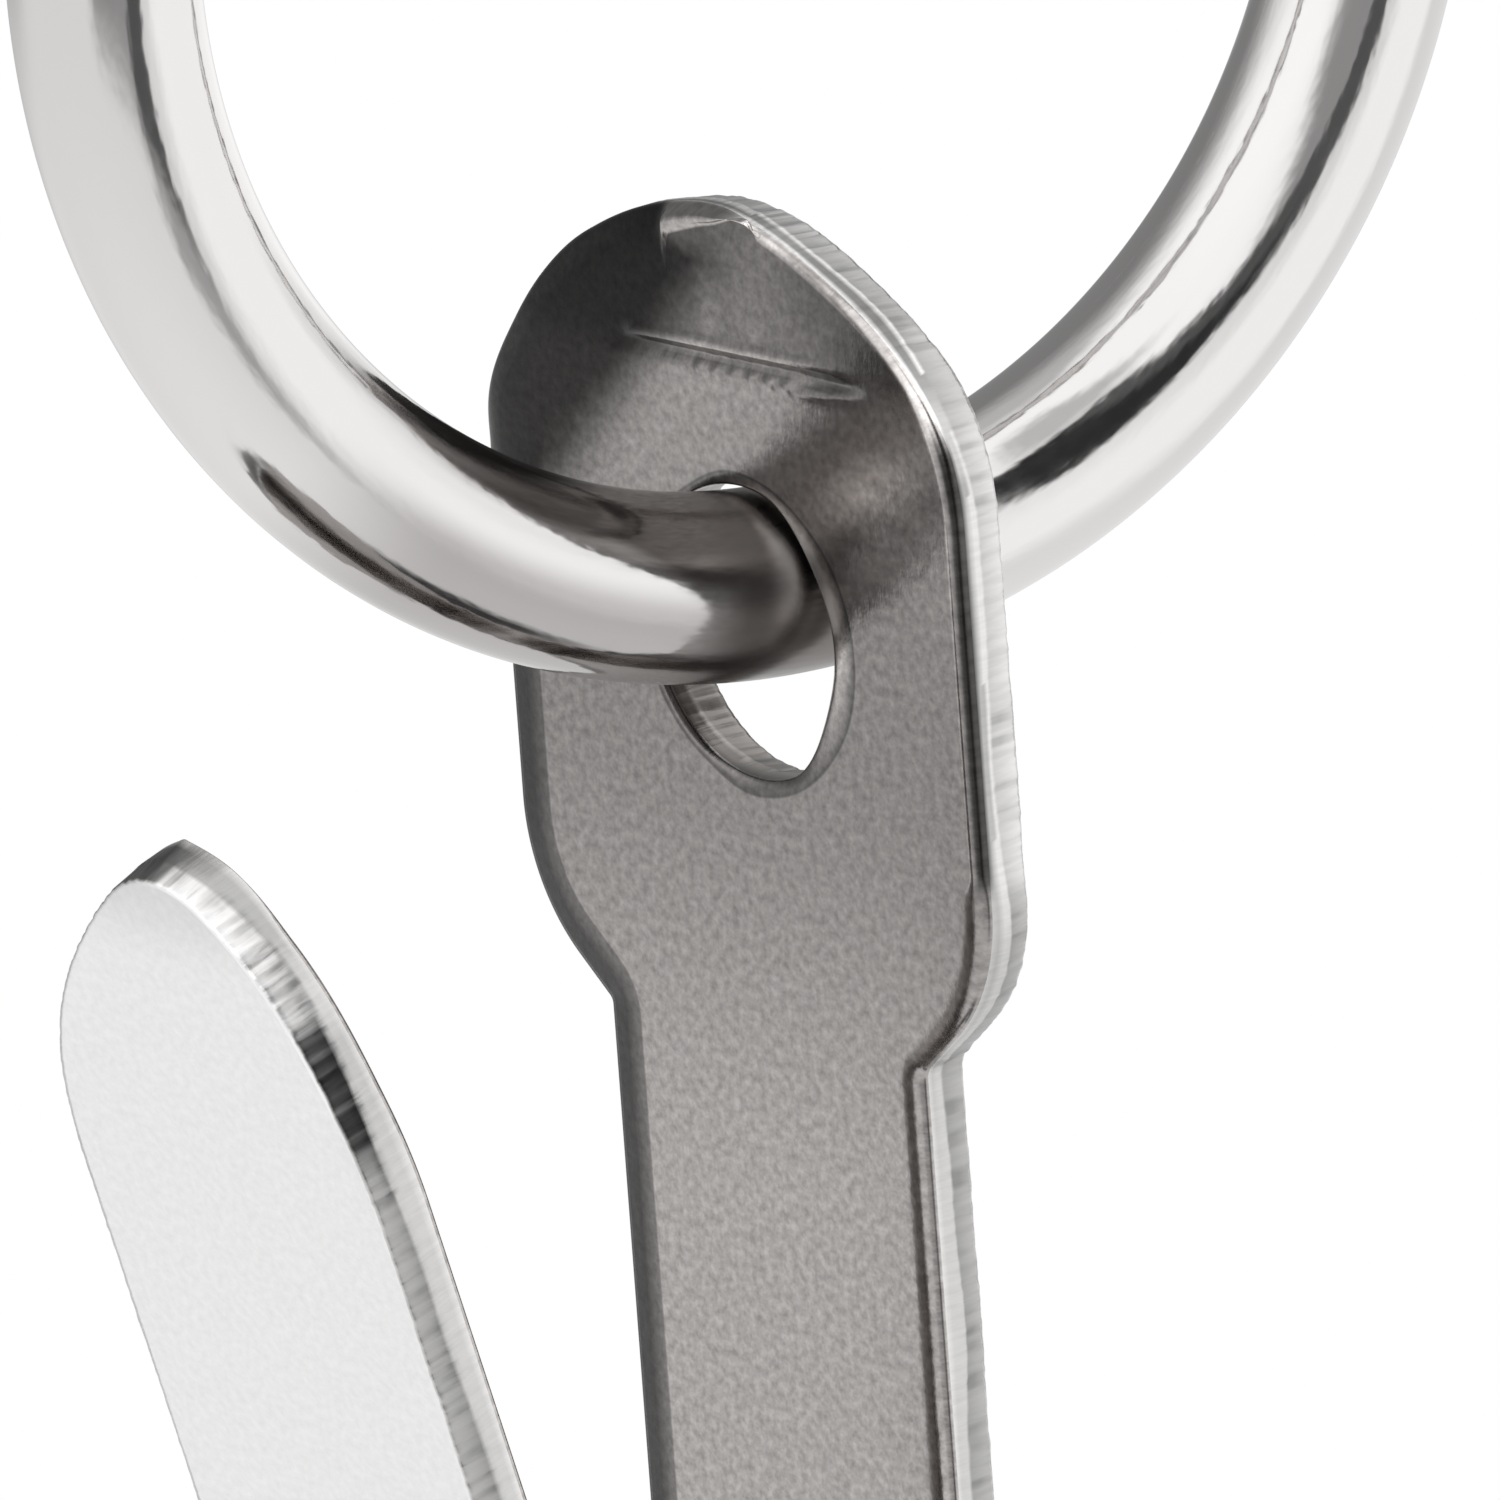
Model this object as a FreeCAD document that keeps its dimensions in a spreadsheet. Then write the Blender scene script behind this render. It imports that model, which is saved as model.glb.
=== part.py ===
"""Curtain hook on its ring: a closed wire ring and a stamped strip hook that hangs on it.

Units are millimetres, +Z is up.  The origin is the centre of the ring, whose axis lies
along X, the way the curtain rod runs.  The hook opens to the front, along -Y.
"""
import FreeCAD
import Part
import Sketcher
import math
import os

doc = FreeCAD.newDocument("curtain_hook")

# Driving sizes.  Every sketch, feature and placement below is bound to these cells.
SIZES = {
    "wire_diameter": 3.0,
    "ring_inner_diameter": 20.4,
    "strip_thickness": 1.0,
    "strip_width": 7.4,
    "head_flare": 1.85,
    "hole_play": 1.7,
    "hole_offset": 0.3,
    "crown_start": 2.4,
    "crown_height": 4.2,
    "shoulder_start": 3.6,
    "shoulder_radius": 3.0,
    "shoulder_slope": 50.0,
    "shoulder_corner": 0.4,
    "shank_length": 18.9,
    "bend_radius": 3.0,
    "leg_splay": 16.0,
    "leg_length": 19.7,
    "tip_length": 5.7,
    "tip_radius": 1.7,
    "edge_roll": 0.2,
    "hang_gap": 0.12,
    "hang_shift": 0.4,
    "hook_tilt": 5.4,
    "hook_yaw": 7.8,
}

# Sizes that follow from the driving ones.
DERIVED = {
    "wire_radius": "wire_diameter / 2",
    "ring_radius": "(ring_inner_diameter + wire_diameter) / 2",
    "hole_diameter": "wire_diameter + hole_play",
    "head_width": "strip_width + 2 * head_flare",
    "crown_radius": "head_width / 2 * (head_width / 2 + crown_height) / (2 * crown_height)",
    "bend_turn": "180 - leg_splay",
    "bend_middle": "bend_radius + strip_thickness / 2",
    "crown_top": "crown_start + crown_height",
    "tip_start": "leg_length - tip_length",
    "hole_height": "wire_radius - ring_radius + hang_gap - hole_diameter / 2 * cos(hook_tilt)",
}

sheet = doc.addObject("Spreadsheet::Sheet", "sizes")
row = 0
for name, value in SIZES.items():
    row += 1
    sheet.set("A%d" % row, name)
    sheet.set("B%d" % row, str(value))
    sheet.setAlias("B%d" % row, name)
for name, formula in DERIVED.items():
    row += 1
    sheet.set("A%d" % row, name)
    sheet.set("B%d" % row, "=" + formula)
    sheet.setAlias("B%d" % row, name)
doc.recompute()


def size(name):
    """The number now held by a cell of the sheet."""
    return float(getattr(sheet, name))


def vec(x, y):
    return FreeCAD.Vector(x, y, 0)


def bind(thing, **expressions):
    """Bind properties of a document object to the sheet; __ stands for a dot."""
    for prop, formula in expressions.items():
        thing.setExpression(prop.replace("__", "."), formula)


def drive(sketch, kind, *refs, name, formula, start):
    """Add a driving dimension to a sketch and bind it to the sheet."""
    sketch.addConstraint(Sketcher.Constraint(kind, *refs, start))
    sketch.renameConstraint(sketch.ConstraintCount - 1, name)
    sketch.setExpression("Constraints." + name, formula)


# How a sketch names the ends of its lines and its own axes; the origin is the start of H.
START, END, CENTRE = range(1, 4)
H_AXIS, V_AXIS = range(-1, -3, -1)
SKETCH_NORMAL = FreeCAD.Vector(0, 0, 1)


def arc_between(centre, first, last):
    """An anticlockwise arc from first to last about a centre."""
    angle_1 = math.atan2(first.y - centre.y, first.x - centre.x)
    angle_2 = math.atan2(last.y - centre.y, last.x - centre.x)
    circle = Part.Circle(centre, SKETCH_NORMAL, (first - centre).Length)
    return Part.ArcOfCircle(circle, angle_1, angle_2)


def mirrored(point):
    return vec(-point.x, point.y)


def rounded_end(half_width, start, top, top_radius):
    """Centres and joint of the arcs that close a strip: two flank arcs and one end arc."""
    rise = top - start
    reach = half_width ** 2 + (rise - top_radius) ** 2 - top_radius ** 2
    flank = reach / (2 * (half_width - top_radius))
    flank_centre = vec(half_width - flank, start)
    end_centre = vec(0, top - top_radius)
    if flank > top_radius:
        along = (end_centre - flank_centre).normalize()
    else:
        along = (flank_centre - end_centre).normalize()
    joint = end_centre + along * top_radius
    return flank_centre, end_centre, joint


def add_rounded_end(sketch, side_right, side_left, half_width, start, top, top_radius):
    """Close two upright sides with flank arcs and a split end arc, symmetric about V."""
    flank_centre, end_centre, joint = rounded_end(half_width, start, top, top_radius)
    foot = vec(half_width, start)
    summit = vec(0, top)
    flank_r = sketch.addGeometry(arc_between(flank_centre, foot, joint))
    end_r = sketch.addGeometry(arc_between(end_centre, joint, summit))
    end_l = sketch.addGeometry(arc_between(end_centre, summit, mirrored(joint)))
    flank_l = sketch.addGeometry(arc_between(mirrored(flank_centre), mirrored(joint), mirrored(foot)))
    sketch.addConstraint([
        Sketcher.Constraint("Tangent", side_right, END, flank_r, START),
        Sketcher.Constraint("Tangent", flank_r, END, end_r, START),
        Sketcher.Constraint("Coincident", end_r, END, end_l, START),
        Sketcher.Constraint("Coincident", end_l, END, flank_l, START),
        Sketcher.Constraint("Coincident", flank_l, END, side_left, START),
        Sketcher.Constraint("Symmetric", flank_r, START, flank_l, END, V_AXIS),
        Sketcher.Constraint("Symmetric", flank_r, END, flank_l, START, V_AXIS),
        Sketcher.Constraint("PointOnObject", end_r, END, V_AXIS),
        Sketcher.Constraint("PointOnObject", end_r, CENTRE, V_AXIS),
        Sketcher.Constraint("Equal", flank_r, flank_l),
        Sketcher.Constraint("Equal", end_r, end_l),
    ])
    return end_r


def new_sketch(body, plane, label):
    """A sketch flat on one of the body's own origin planes."""
    sketch = body.newObject("Sketcher::SketchObject", label)
    for feature in body.Origin.OriginFeatures:
        if feature.Role == plane:
            sketch.AttachmentSupport = [(feature, "")]
    sketch.MapMode = "FlatFace"
    return sketch


# Ring: one length of round wire, butt welded and plated, so a plain closed torus.
ring = doc.addObject("Part::Torus", "ring")
ring.Label = "ring"
bind(ring, Radius1="sizes.ring_radius", Radius2="sizes.wire_radius")
ring.Placement = FreeCAD.Placement(FreeCAD.Vector(0, 0, 0), FreeCAD.Rotation(0, 90, 0))

# Hook: one stamped strip.  Its own frame has the strip's centre line on x = 0, the level
# of the hole at z = 0, the middle of the sheet on y = 0 and the mouth towards -Y.
hook = doc.addObject("PartDesign::Body", "hook")
hook.Label = "hook"

half_strip = size("strip_width") / 2
half_head = size("head_width") / 2
slope = math.radians(size("shoulder_slope"))
shoulder_centre = vec(half_head - size("shoulder_radius"), -size("shoulder_start"))
slope_top = shoulder_centre + vec(math.cos(slope), -math.sin(slope)) * size("shoulder_radius")
corner_drop = (slope_top.x - half_strip) / math.tan(slope)
corner = vec(half_strip, slope_top.y - corner_drop)
shoulder_end = vec(half_head, -size("shoulder_start"))
crown_foot = vec(half_head, size("crown_start"))
shank_foot = vec(half_strip, -size("shank_length"))

# Front outline of the head and shank, with the hole for the ring.
outline = new_sketch(hook, "XZ_Plane", "plate_outline")
foot_line = outline.addGeometry(Part.LineSegment(mirrored(shank_foot), shank_foot))
shank_r = outline.addGeometry(Part.LineSegment(shank_foot, corner))
slope_r = outline.addGeometry(Part.LineSegment(corner, slope_top))
shoulder_r = outline.addGeometry(arc_between(shoulder_centre, slope_top, shoulder_end))
side_r = outline.addGeometry(Part.LineSegment(shoulder_end, crown_foot))
side_l = outline.addGeometry(Part.LineSegment(mirrored(crown_foot), mirrored(shoulder_end)))
shoulder_l = outline.addGeometry(
    arc_between(mirrored(shoulder_centre), mirrored(shoulder_end), mirrored(slope_top)))
slope_l = outline.addGeometry(Part.LineSegment(mirrored(slope_top), mirrored(corner)))
shank_l = outline.addGeometry(Part.LineSegment(mirrored(corner), mirrored(shank_foot)))
hole = outline.addGeometry(
    Part.Circle(vec(size("hole_offset"), 0), SKETCH_NORMAL, size("hole_diameter") / 2))
crown_arc = add_rounded_end(
    outline, side_r, side_l, half_head, size("crown_start"), size("crown_top"), size("crown_radius"))
outline.addConstraint([
    Sketcher.Constraint("Coincident", foot_line, END, shank_r, START),
    Sketcher.Constraint("Coincident", shank_r, END, slope_r, START),
    Sketcher.Constraint("Tangent", slope_r, END, shoulder_r, START),
    Sketcher.Constraint("Tangent", shoulder_r, END, side_r, START),
    Sketcher.Constraint("Coincident", side_l, END, shoulder_l, START),
    Sketcher.Constraint("Coincident", shoulder_l, END, slope_l, START),
    Sketcher.Constraint("Coincident", slope_l, END, shank_l, START),
    Sketcher.Constraint("Coincident", shank_l, END, foot_line, START),
    Sketcher.Constraint("Symmetric", foot_line, START, foot_line, END, V_AXIS),
    Sketcher.Constraint("Symmetric", shank_r, END, shank_l, START, V_AXIS),
    Sketcher.Constraint("Symmetric", slope_r, END, slope_l, START, V_AXIS),
    Sketcher.Constraint("Symmetric", side_r, START, side_l, END, V_AXIS),
    Sketcher.Constraint("Equal", shoulder_r, shoulder_l),
    Sketcher.Constraint("Vertical", shank_r),
    Sketcher.Constraint("Vertical", side_r),
    Sketcher.Constraint("PointOnObject", hole, CENTRE, H_AXIS),
])
drive(outline, "DistanceX", foot_line, START, foot_line, END,
      name="strip_width", formula="sizes.strip_width", start=size("strip_width"))
drive(outline, "DistanceX", side_l, END, side_r, START,
      name="head_width", formula="sizes.head_width", start=size("head_width"))
drive(outline, "DistanceY", foot_line, END, H_AXIS, START,
      name="shank_length", formula="sizes.shank_length", start=size("shank_length"))
drive(outline, "DistanceY", side_r, START, H_AXIS, START,
      name="shoulder_start", formula="sizes.shoulder_start", start=size("shoulder_start"))
drive(outline, "DistanceY", H_AXIS, START, side_r, END,
      name="crown_start", formula="sizes.crown_start", start=size("crown_start"))
drive(outline, "DistanceY", H_AXIS, START, crown_arc, END,
      name="crown_top", formula="sizes.crown_top", start=size("crown_top"))
drive(outline, "Radius", crown_arc,
      name="crown_radius", formula="sizes.crown_radius", start=size("crown_radius"))
drive(outline, "Radius", shoulder_r,
      name="shoulder_radius", formula="sizes.shoulder_radius", start=size("shoulder_radius"))
drive(outline, "Angle", slope_r,
      name="slope_angle", formula="90 - sizes.shoulder_slope", start=math.pi / 2 - slope)
drive(outline, "Diameter", hole,
      name="hole_diameter", formula="sizes.hole_diameter", start=size("hole_diameter"))
drive(outline, "DistanceX", H_AXIS, START, hole, CENTRE,
      name="hole_offset", formula="sizes.hole_offset", start=size("hole_offset"))

plate = hook.newObject("PartDesign::Pad", "plate")
plate.Profile = outline
plate.Midplane = True
bind(plate, Length="sizes.strip_thickness")

# Bend: the strip's section turned about the bend axis below the shank.
section = new_sketch(hook, "XY_Plane", "bend_section")
bind(section,
     AttachmentOffset__Base__y="-sizes.bend_middle",
     AttachmentOffset__Base__z="-sizes.shank_length")
inner_y = size("bend_radius")
outer_y = inner_y + size("strip_thickness")
near_line = section.addGeometry(Part.LineSegment(vec(-half_strip, inner_y), vec(half_strip, inner_y)))
right_line = section.addGeometry(Part.LineSegment(vec(half_strip, inner_y), vec(half_strip, outer_y)))
far_line = section.addGeometry(Part.LineSegment(vec(half_strip, outer_y), vec(-half_strip, outer_y)))
left_line = section.addGeometry(Part.LineSegment(vec(-half_strip, outer_y), vec(-half_strip, inner_y)))
section.addConstraint([
    Sketcher.Constraint("Coincident", near_line, END, right_line, START),
    Sketcher.Constraint("Coincident", right_line, END, far_line, START),
    Sketcher.Constraint("Coincident", far_line, END, left_line, START),
    Sketcher.Constraint("Coincident", left_line, END, near_line, START),
    Sketcher.Constraint("Symmetric", near_line, START, near_line, END, V_AXIS),
    Sketcher.Constraint("Vertical", right_line),
    Sketcher.Constraint("Vertical", left_line),
    Sketcher.Constraint("Horizontal", far_line),
])
drive(section, "DistanceX", near_line, START, near_line, END,
      name="strip_width", formula="sizes.strip_width", start=size("strip_width"))
drive(section, "DistanceY", H_AXIS, START, near_line, START,
      name="bend_radius", formula="sizes.bend_radius", start=size("bend_radius"))
drive(section, "DistanceY", right_line, START, right_line, END,
      name="strip_thickness", formula="sizes.strip_thickness", start=size("strip_thickness"))

bend = hook.newObject("PartDesign::Revolution", "bend")
bend.Profile = section
bend.ReferenceAxis = (section, ["H_Axis"])
bend.Reversed = True
bind(bend, Angle="sizes.bend_turn")

# Leg: the splayed front end of the strip, closed by a bullet-shaped tip.
leg_outline = new_sketch(hook, "XZ_Plane", "leg_outline")
leg_outline.AttachmentOffset = FreeCAD.Placement(
    FreeCAD.Vector(0, 0, 0), FreeCAD.Rotation(FreeCAD.Vector(1, 0, 0), size("leg_splay")))
bind(leg_outline,
     AttachmentOffset__Rotation__Angle="sizes.leg_splay",
     AttachmentOffset__Base__y="-sizes.shank_length - sin(sizes.leg_splay) * sizes.bend_middle",
     AttachmentOffset__Base__z="(1 + cos(sizes.leg_splay)) * sizes.bend_middle")
tip_foot = vec(half_strip, size("tip_start"))
leg_foot = vec(half_strip, 0)
leg_line = leg_outline.addGeometry(Part.LineSegment(mirrored(leg_foot), leg_foot))
leg_r = leg_outline.addGeometry(Part.LineSegment(leg_foot, tip_foot))
leg_l = leg_outline.addGeometry(Part.LineSegment(mirrored(tip_foot), mirrored(leg_foot)))
tip_arc = add_rounded_end(
    leg_outline, leg_r, leg_l, half_strip, size("tip_start"), size("leg_length"), size("tip_radius"))
leg_outline.addConstraint([
    Sketcher.Constraint("Coincident", leg_line, END, leg_r, START),
    Sketcher.Constraint("Coincident", leg_l, END, leg_line, START),
    Sketcher.Constraint("Symmetric", leg_line, START, leg_line, END, V_AXIS),
    Sketcher.Constraint("PointOnObject", leg_line, START, H_AXIS),
    Sketcher.Constraint("Vertical", leg_r),
])
drive(leg_outline, "DistanceX", leg_line, START, leg_line, END,
      name="strip_width", formula="sizes.strip_width", start=size("strip_width"))
drive(leg_outline, "DistanceY", H_AXIS, START, leg_r, END,
      name="tip_start", formula="sizes.tip_start", start=size("tip_start"))
drive(leg_outline, "DistanceY", H_AXIS, START, tip_arc, END,
      name="leg_length", formula="sizes.leg_length", start=size("leg_length"))
drive(leg_outline, "Radius", tip_arc,
      name="tip_radius", formula="sizes.tip_radius", start=size("tip_radius"))

leg = hook.newObject("PartDesign::Pad", "leg")
leg.Profile = leg_outline
leg.Midplane = True
bind(leg, Length="sizes.strip_thickness")
hook.Tip = leg
doc.recompute()

TOLERANCE = 1e-4


def edge_names(shape, wanted):
    """Names of the edges of a shape that are in a list of edges."""
    return ["Edge%d" % (number + 1) for number, edge in enumerate(shape.Edges)
            if any(edge.isSame(other) for other in wanted)]


def shoulder_edges(shape):
    """The two edges through the sheet where the shoulders meet the shank."""
    found = []
    for edge in shape.Edges:
        box = edge.BoundBox
        straight_through = box.XLength < TOLERANCE and box.ZLength < TOLERANCE
        at_side = abs(abs(box.XMin) - half_strip) < TOLERANCE
        on_shank = TOLERANCE - size("shank_length") < box.ZMin < 0
        if straight_through and at_side and on_shank:
            found.append(edge)
    return found


def rolled_edges(shape):
    """The rim of the die side of the strip: the faces that look into the mouth."""
    splay = math.radians(size("leg_splay"))
    shank_inward = FreeCAD.Vector(0, -1, 0)
    leg_inward = FreeCAD.Vector(0, math.cos(splay), math.sin(splay))
    half_sheet = size("strip_thickness") / 2
    rim = []
    for face in shape.Faces:
        surface = face.Surface
        if isinstance(surface, Part.Cylinder):
            along_x = abs(abs(surface.Axis.x) - 1) < TOLERANCE
            inside = along_x and abs(surface.Radius - size("bend_radius")) < TOLERANCE
        elif isinstance(surface, Part.Plane):
            normal = face.normalAt(0, 0)
            on_mouth = abs(face.CenterOfMass.y + half_sheet) < TOLERANCE
            shank_face = on_mouth and (normal - shank_inward).Length < TOLERANCE
            leg_face = (normal - leg_inward).Length < TOLERANCE
            inside = shank_face or leg_face
        else:
            inside = False
        if inside:
            rim.extend(face.Edges)
    return [edge for edge in rim if sum(edge.isSame(other) for other in rim) == 1]


corners = hook.newObject("PartDesign::Fillet", "shoulder_corners")
corners.Base = (leg, edge_names(leg.Shape, shoulder_edges(leg.Shape)))
bind(corners, Radius="sizes.shoulder_corner")
hook.Tip = corners
doc.recompute()

roll = hook.newObject("PartDesign::Fillet", "die_roll")
roll.Base = (corners, edge_names(corners.Shape, rolled_edges(corners.Shape)))
bind(roll, Radius="sizes.edge_roll")
hook.Tip = roll

# The hook hangs by its hole on the lowest stretch of the wire, tilted and turned a little.
bind(hook,
     Placement__Base__x="-sizes.hole_offset * cos(sizes.hook_yaw)",
     Placement__Base__y="sizes.hang_shift - sizes.hole_offset * sin(sizes.hook_yaw)",
     Placement__Base__z="sizes.hole_height",
     Placement__Rotation__Yaw="sizes.hook_yaw",
     Placement__Rotation__Roll="sizes.hook_tilt")
doc.recompute()

for thing in doc.Objects:
    if "Invalid" in thing.State or "Error" in thing.State:
        raise RuntimeError("%s did not rebuild: %s" % (thing.Name, thing.State))

os.makedirs("parts", exist_ok=True)
for node in (ring, hook):
    shape = node.Shape
    if shape.isNull() or not shape.isValid() or len(shape.Solids) != 1:
        raise RuntimeError("%s is not one valid solid" % node.Label)
    shape.exportStep("parts/%s.step" % node.Label)
    box = shape.BoundBox
    print("%s: volume %.2f, x %.2f..%.2f, y %.2f..%.2f, z %.2f..%.2f" % (
        node.Label, shape.Volume, box.XMin, box.XMax, box.YMin, box.YMax, box.ZMin, box.ZMax))
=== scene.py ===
# %% [markdown]
# # A curtain hook on its ring
# The part has two pieces: a closed ring of plated wire, and a strip hook that was
# stamped flat, bent once and hung on the ring by the hole in its head.
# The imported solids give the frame, and this script gives each of them a finer skin.

# %% Load the frame
import math

import bpy
import numpy as np
from mathutils import Matrix, Vector
from mathutils.geometry import delaunay_2d_cdt


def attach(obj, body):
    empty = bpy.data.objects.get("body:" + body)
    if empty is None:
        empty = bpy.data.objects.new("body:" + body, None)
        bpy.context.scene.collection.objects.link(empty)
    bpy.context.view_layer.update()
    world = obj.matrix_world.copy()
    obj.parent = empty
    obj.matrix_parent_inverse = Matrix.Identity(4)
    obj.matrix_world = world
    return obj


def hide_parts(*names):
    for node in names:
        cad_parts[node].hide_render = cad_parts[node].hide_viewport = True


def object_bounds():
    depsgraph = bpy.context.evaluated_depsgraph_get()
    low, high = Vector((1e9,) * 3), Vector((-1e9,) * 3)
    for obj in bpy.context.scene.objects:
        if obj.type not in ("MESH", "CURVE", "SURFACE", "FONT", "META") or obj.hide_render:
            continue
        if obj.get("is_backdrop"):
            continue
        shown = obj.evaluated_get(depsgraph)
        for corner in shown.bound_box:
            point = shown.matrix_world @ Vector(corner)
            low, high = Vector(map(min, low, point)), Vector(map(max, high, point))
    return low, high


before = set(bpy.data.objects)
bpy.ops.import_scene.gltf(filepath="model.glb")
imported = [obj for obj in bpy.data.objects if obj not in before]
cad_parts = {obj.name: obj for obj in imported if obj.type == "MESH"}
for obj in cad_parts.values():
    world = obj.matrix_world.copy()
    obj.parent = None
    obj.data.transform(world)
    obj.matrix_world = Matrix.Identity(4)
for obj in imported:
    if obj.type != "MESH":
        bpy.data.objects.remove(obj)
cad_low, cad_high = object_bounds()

MM = 0.001
print("frame nodes:", sorted(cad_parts))


# %% [markdown]
# ## Colours and nodes
# Every finish and every rule of shape below is a tree of nodes. A tree can be wired by hand
# in Blender's editor, but a script can be read, run again and changed. One function turns
# a screen colour into the linear numbers that shaders count with. One adds a node with
# its settings and links, and serves every kind of node.

# %% Colours and nodes
def colour(code):
    """Linear RGBA of an sRGB hex colour."""
    parts = [int(code[i:i + 2], 16) / 255 for i in (1, 3, 5)]
    return [p / 12.92 if p <= 0.04045 else ((p + 0.055) / 1.055) ** 2.4 for p in parts] + [1.0]


def add(tree, kind, inputs=(), **settings):
    """A new node; inputs are values, sockets, or nodes whose first live output is meant."""
    node = tree.nodes.new(kind)
    for name, value in settings.items():
        setattr(node, name, value)
    named = inputs.items() if isinstance(inputs, dict) else enumerate(inputs)
    for name, value in named:
        if isinstance(value, bpy.types.Node):
            value = next(socket for socket in value.outputs if socket.enabled)
        if isinstance(value, bpy.types.NodeSocket):
            tree.links.new(value, node.inputs[name])
        else:
            node.inputs[name].default_value = value
    return node


MATH = "ShaderNodeMath"
VECTOR = "ShaderNodeVectorMath"
SPAN = "ShaderNodeMapRange"
MIX = "ShaderNodeMix"
SPLIT = "ShaderNodeSeparateXYZ"
JOIN = "ShaderNodeCombineXYZ"
NOISE = "ShaderNodeTexNoise"
BUMP = "ShaderNodeBump"
SOFT = "SMOOTHSTEP"
print("mid grey #808080 is %.3f in linear light" % colour("#808080")[0])

# %% [markdown]
# ## Where a place on the wire is
# The finish of the wire follows the wire, so each point needs two angles: how far round
# the ring it is, and how far round the wire. A UV map could carry them. They are worked
# out from Object coordinates instead, because a ring is simple enough for that and no
# seam can then show. The ring stands in the plane of Y and Z.

# %% Places on the wire
WIRE = 3.0
RING_INSIDE = 20.4
RING_RADIUS = (RING_INSIDE + WIRE) / 2


def new_finish(name):
    """An empty material and its node tree."""
    material = bpy.data.materials.new(name)
    material.use_nodes = True
    material.node_tree.nodes.clear()
    return material, material.node_tree


# Nickel over drawn wire: a near white mirror, drawn out a little along the wire.
wire_metal, tree = new_finish("bright_nickel_plated_drawn_wire")
own_place = add(tree, "ShaderNodeTexCoord").outputs["Object"]
place = add(tree, SPLIT, [own_place]).outputs
turn = add(tree, MATH, [place["Z"], place["Y"]], operation="ARCTAN2")
y_squared = add(tree, MATH, [place["Y"], 2.0], operation="POWER")
z_squared = add(tree, MATH, [place["Z"], 2.0], operation="POWER")
both_squared = add(tree, MATH, [y_squared, z_squared], operation="ADD")
reach = add(tree, MATH, [both_squared], operation="SQRT")
past_middle = add(tree, MATH, [reach, RING_RADIUS * MM], operation="SUBTRACT")
around = add(tree, MATH, [place["X"], past_middle], operation="ARCTAN2")
print("ring of %.1f mm wire, %.1f mm to the middle of the wire" % (WIRE, RING_RADIUS))

# %% [markdown]
# ## The drawn surface
# A die leaves fine streaks along drawn wire, and plating smooths them to soft lumps.
# They could be modelled, but they are shallower than a hair and only bend the mirror
# image, so two bumps do it. Real streaks are too fine to show at this size,
# so they are drawn as coarse as a seventh of a millimetre.

# %% Drawn surface
STREAK_WIDTH = 1 / 7
STREAK_DEPTH = 0.003
LUMP_WIDTH = 1 / 1.1
LUMP_DEPTH = 0.012
DRAWN_OUT = 0.3

along_mm = add(tree, MATH, [turn, RING_RADIUS], operation="MULTIPLY")
around_mm = add(tree, MATH, [around, WIRE / 2], operation="MULTIPLY")
squeezed = add(tree, MATH, [along_mm, DRAWN_OUT], operation="MULTIPLY")
drawn = add(tree, JOIN, {"X": squeezed, "Y": around_mm})
streaks = add(tree, NOISE, {"Vector": drawn, "Scale": 1 / STREAK_WIDTH, "Detail": 1.0})
lumps = add(tree, NOISE, {"Vector": drawn, "Scale": 1 / LUMP_WIDTH, "Detail": 1.0})
lumpy = add(tree, BUMP, {"Height": lumps, "Strength": 1.0, "Distance": LUMP_DEPTH * MM})
relief = add(tree, BUMP, {"Height": streaks, "Strength": 1.0, "Distance": STREAK_DEPTH * MM,
                          "Normal": lumpy})
print("streaks about %.2f mm wide and %.1f times as long" % (STREAK_WIDTH, 1 / DRAWN_OUT))

# %% [markdown]
# ## Painted shade on the wire
# Where the hook hangs, shade is painted into the wire's colour. Inside the hole the wire is
# painted grey as shade and made duller, the flank in front of it is painted darker where it
# mirrors the dark plate, and a lighter band of painted shade lies beside that. These
# could be painted on a picture. Masks of the two angles do the same and stay sharp. Angles
# are in radians, and the ring's lowest point is at -pi/2.

# %% Painted shade on the wire
IN_HOLE = (-1.73, -1.64)
BEHIND_HOOK = (-1.5, -1.3)
FLANK_SHADE_STARTS = (-2.36, -2.0)
SINKING_SPAN_OF_FLANK_SHADE = (-1.88, -1.7)
FLANK_SHADE_SINK = 0.36
FLANK_SHADE_EDGE = (1.98, 2.2)
HALF_SHADE_STARTS = (-2.4, -2.1)
HALF_SHADE_EDGE = (1.4, 1.75)

# Painted shade inside the hole, where the plate shades the wire; the wire is also made duller there.
in_front = add(tree, SPAN, [turn, *BEHIND_HOOK, 1.0, 0.0], interpolation_type=SOFT)
from_hole = add(tree, SPAN, [turn, *IN_HOLE], interpolation_type=SOFT)
painted_shade_in_hole = add(tree, MATH, [from_hole, in_front], operation="MULTIPLY")

# Painted reflection of the dark plate, as shade on the flank in front of the hole.
drop = add(tree, SPAN, [turn, *SINKING_SPAN_OF_FLANK_SHADE, 0.0, FLANK_SHADE_SINK], interpolation_type=SOFT)
lowered = add(tree, MATH, [around, drop], operation="ADD")
on_flank = add(tree, SPAN, [lowered, *FLANK_SHADE_EDGE], interpolation_type=SOFT)
from_flank_shade = add(tree, SPAN, [turn, *FLANK_SHADE_STARTS], interpolation_type=SOFT)
stretch = add(tree, MATH, [from_flank_shade, in_front], operation="MULTIPLY")
painted_flank_shade = add(tree, MATH, [on_flank, stretch], operation="MULTIPLY")

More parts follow.
